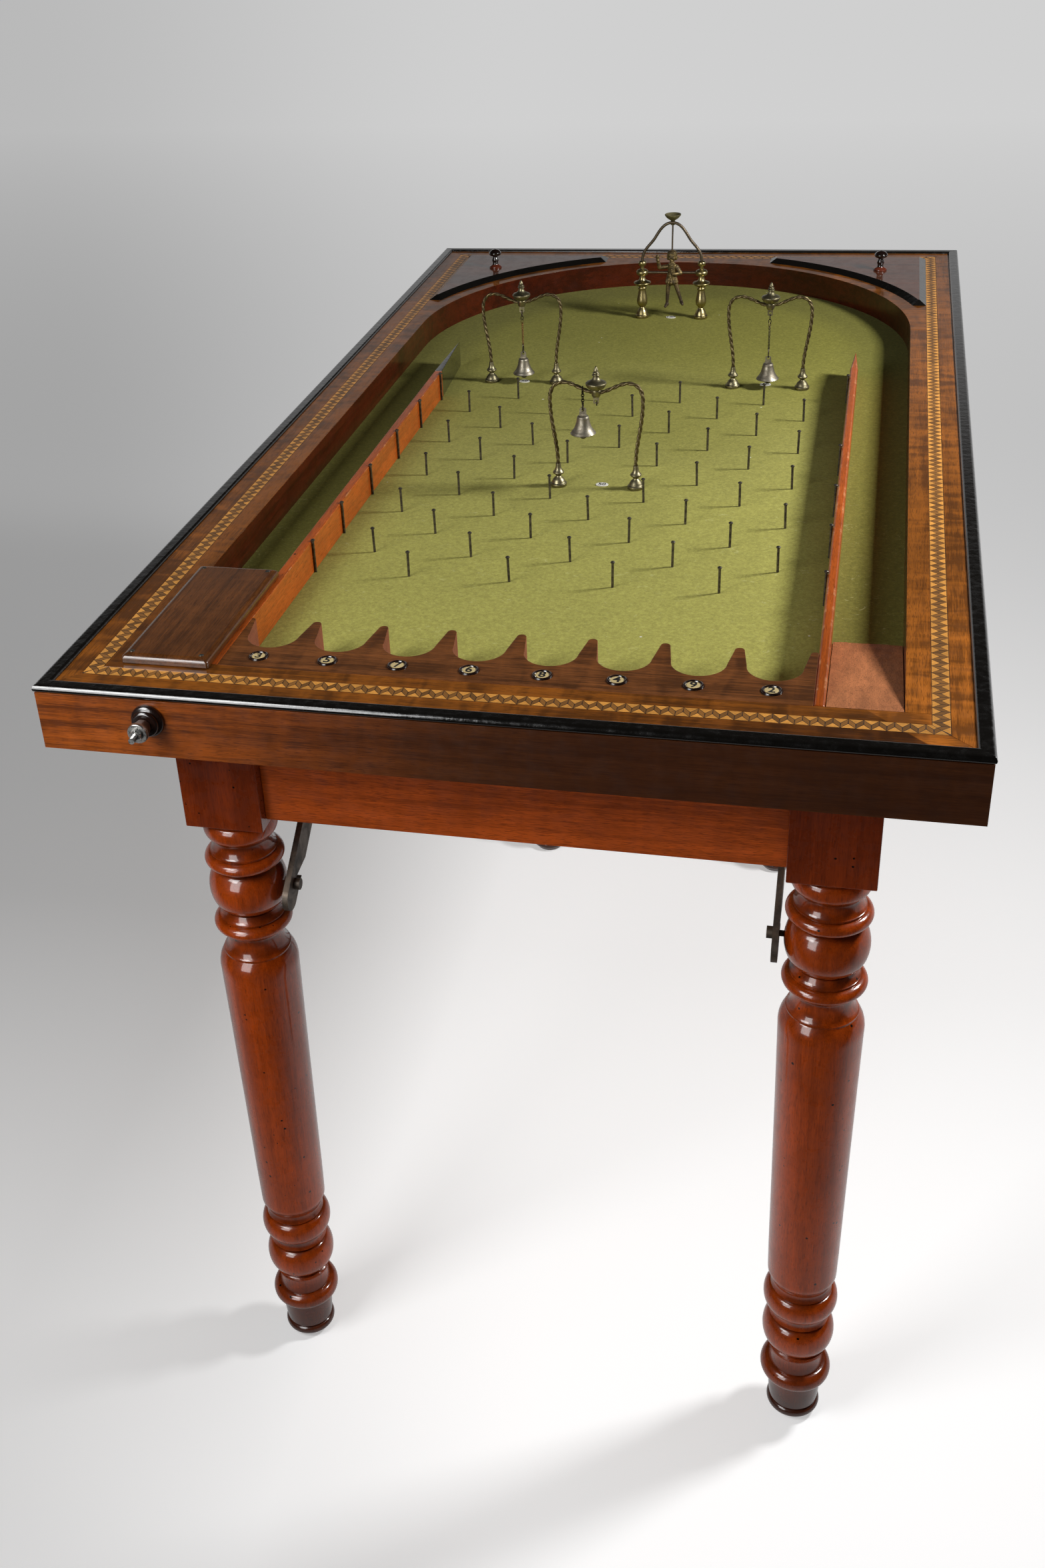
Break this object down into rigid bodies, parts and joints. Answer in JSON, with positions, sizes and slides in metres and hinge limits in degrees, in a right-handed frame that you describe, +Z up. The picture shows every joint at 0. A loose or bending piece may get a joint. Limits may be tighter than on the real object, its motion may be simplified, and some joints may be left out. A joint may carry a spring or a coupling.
{
  "type": "bagatelle table",
  "caption": "Antique wooden bagatelle pinball game on a folding stand of turned legs, with a spring plunger, nail field, cup comb, hanging bells and a small rocking figure.",
  "frame": {"origin": "middle of the whole object's box on the floor", "axes": "+Z up, +Y away from the player, +X to the player's right"},
  "size_m": [0.678, 1.2984, 0.8927],
  "materials": {
    "case_mahogany": "worn satin",
    "deck_veneer": "worn satin",
    "inlay": "satin",
    "ebonised": "worn satin",
    "wall_mahogany": "satin",
    "inner_pine": "bare",
    "baize": "worn felt",
    "comb_burr": "polished",
    "bone": "matte",
    "rail_fruitwood": "satin",
    "iron": "dark, worn",
    "lid_mahogany": "satin",
    "brass": "aged",
    "arch_wire": "dull",
    "chain_wire": "dull",
    "bell_bronze": "grey patina",
    "painted_figure": "worn paint",
    "leg_mahogany": "glossy",
    "collar_horn": "satin"
  },
  "bodies": {
    "case": {"front_board": "case_mahogany", "case_boards": "case_mahogany", "base_board": "inner_pine", "cloth": "baize", "end_kerbs": "inner_pine", "side_walls": "wall_mahogany", "arch_fence": "wall_mahogany", "deck_boards": "deck_veneer", "inlay_band": "inlay", "edge_moulding": "ebonised", "cup_comb": "comb_burr", "number_plates": "bone", "left_rail": "rail_fruitwood", "left_rail_tip": "ebonised", "right_rail": "rail_fruitwood", "field_pins": "iron", "nails": "iron", "lane_cover": "lid_mahogany", "ball_ramp": "rail_fruitwood", "plunger_bush": "ebonised", "plunger_spring": "iron", "arch_wire_centre": "arch_wire", "arch_wire_left": "arch_wire", "arch_wire_right": "arch_wire", "arch_feet": "brass", "arch_hubs": "brass", "figure_stand": "brass", "figure_arch": "arch_wire", "fixed_hinge_leaves": "iron", "stay_brackets": "iron", "stand_pins": "iron"},
    "left_lid": {"lid_left": "lid_mahogany", "knob_left": "ebonised"},
    "right_lid": {"lid_right": "lid_mahogany", "knob_right": "ebonised"},
    "plunger": {"plunger_rod": "iron", "plunger_striker": "inner_pine", "plunger_collar": "collar_horn", "plunger_nut": "iron"},
    "front_stand": {"front_left_leg": "leg_mahogany", "front_right_leg": "leg_mahogany", "front_apron": "leg_mahogany", "front_irons": "iron"},
    "rear_stand": {"rear_left_leg": "leg_mahogany", "rear_right_leg": "leg_mahogany", "rear_apron": "leg_mahogany", "rear_irons": "iron"},
    "front_stay_pair": {"front_stays": "iron"},
    "rear_stay_pair": {"rear_stays": "iron"},
    "rocking_figure": {"figure": "painted_figure", "figure_dish": "brass"},
    "centre_chain": {"chain_centre": "chain_wire"},
    "centre_bell": {"bell_centre": "bell_bronze"},
    "centre_clapper": {"clapper_centre": "iron"},
    "left_chain": {"chain_left": "chain_wire"},
    "left_bell": {"bell_left": "bell_bronze"},
    "left_clapper": {"clapper_left": "iron"},
    "right_chain": {"chain_right": "chain_wire"},
    "right_bell": {"bell_right": "bell_bronze"},
    "right_clapper": {"clapper_right": "iron"}
  },
  "joints": [
    {"name": "left_lid_lift", "type": "slide", "parent": "case", "child": "left_lid", "axis": [0, 0, 1], "range_m": [0, 0.06]},
    {"name": "right_lid_lift", "type": "slide", "parent": "case", "child": "right_lid", "axis": [0, 0, 1], "range_m": [0, 0.06]},
    {"name": "plunger_pull", "type": "slide", "parent": "case", "child": "plunger", "axis": [0, -1, 0], "range_m": [0, 0.038], "stiffness_N_per_m": 60, "springref_m": -0.02, "deforming": ["plunger_spring"]},
    {"name": "front_stand_fold", "type": "hinge", "parent": "case", "child": "front_stand", "pos_m": [0, -0.46375, 0.7436], "axis": [1, 0, 0], "range_deg": [0, 72]},
    {"name": "rear_stand_fold", "type": "hinge", "parent": "case", "child": "rear_stand", "pos_m": [0, 0.35275, 0.7436], "axis": [-1, 0, 0], "range_deg": [0, 80]},
    {"name": "front_stay_swing", "type": "hinge", "parent": "case", "child": "front_stay_pair", "pos_m": [0, -0.25675, 0.7331], "axis": [1, 0, 0], "range_deg": [0, 10.8]},
    {"name": "rear_stay_swing", "type": "hinge", "parent": "case", "child": "rear_stay_pair", "pos_m": [0, 0.14575, 0.7331], "axis": [-1, 0, 0], "range_deg": [0, 12]},
    {"name": "centre_chain_swing", "type": "hinge", "parent": "case", "child": "centre_chain", "pos_m": [-0.01462, -0.11675, 0.86433], "axis": [1, 0, 0], "range_deg": [-20, 20]},
    {"name": "centre_bell_swing", "type": "hinge", "parent": "centre_chain", "child": "centre_bell", "pos_m": [-0.01462, -0.11675, 0.84448], "axis": [1, 0, 0], "range_deg": [-20, 20]},
    {"name": "centre_clapper_swing", "type": "hinge", "parent": "centre_bell", "child": "centre_clapper", "pos_m": [-0.01462, -0.11675, 0.83498], "axis": [1, 0, 0], "range_deg": [-15, 15]},
    {"name": "left_chain_swing", "type": "hinge", "parent": "case", "child": "left_chain", "pos_m": [-0.134, 0.18225, 0.8496], "axis": [1, 0, 0], "range_deg": [-20, 20]},
    {"name": "left_bell_swing", "type": "hinge", "parent": "left_chain", "child": "left_bell", "pos_m": [-0.134, 0.18225, 0.8019], "axis": [1, 0, 0], "range_deg": [-20, 20]},
    {"name": "left_clapper_swing", "type": "hinge", "parent": "left_bell", "child": "left_clapper", "pos_m": [-0.134, 0.18225, 0.7924], "axis": [1, 0, 0], "range_deg": [-15, 15]},
    {"name": "right_chain_swing", "type": "hinge", "parent": "case", "child": "right_chain", "pos_m": [0.1345, 0.18225, 0.8496], "axis": [1, 0, 0], "range_deg": [-20, 20]},
    {"name": "right_bell_swing", "type": "hinge", "parent": "right_chain", "child": "right_bell", "pos_m": [0.1345, 0.18225, 0.8019], "axis": [1, 0, 0], "range_deg": [-20, 20]},
    {"name": "right_clapper_swing", "type": "hinge", "parent": "right_bell", "child": "right_clapper", "pos_m": [0.1345, 0.18225, 0.7924], "axis": [1, 0, 0], "range_deg": [-15, 15]},
    {"name": "figure_rock", "type": "hinge", "parent": "case", "child": "rocking_figure", "pos_m": [-0.0015, 0.43925, 0.824], "axis": [-1, 0, 0], "range_deg": [0, 60]}
  ],
  "couplings": [
    {"joint": "front_stay_swing", "follows": "front_stand_fold", "ratio": 0.15},
    {"joint": "rear_stay_swing", "follows": "rear_stand_fold", "ratio": 0.15}
  ]
}
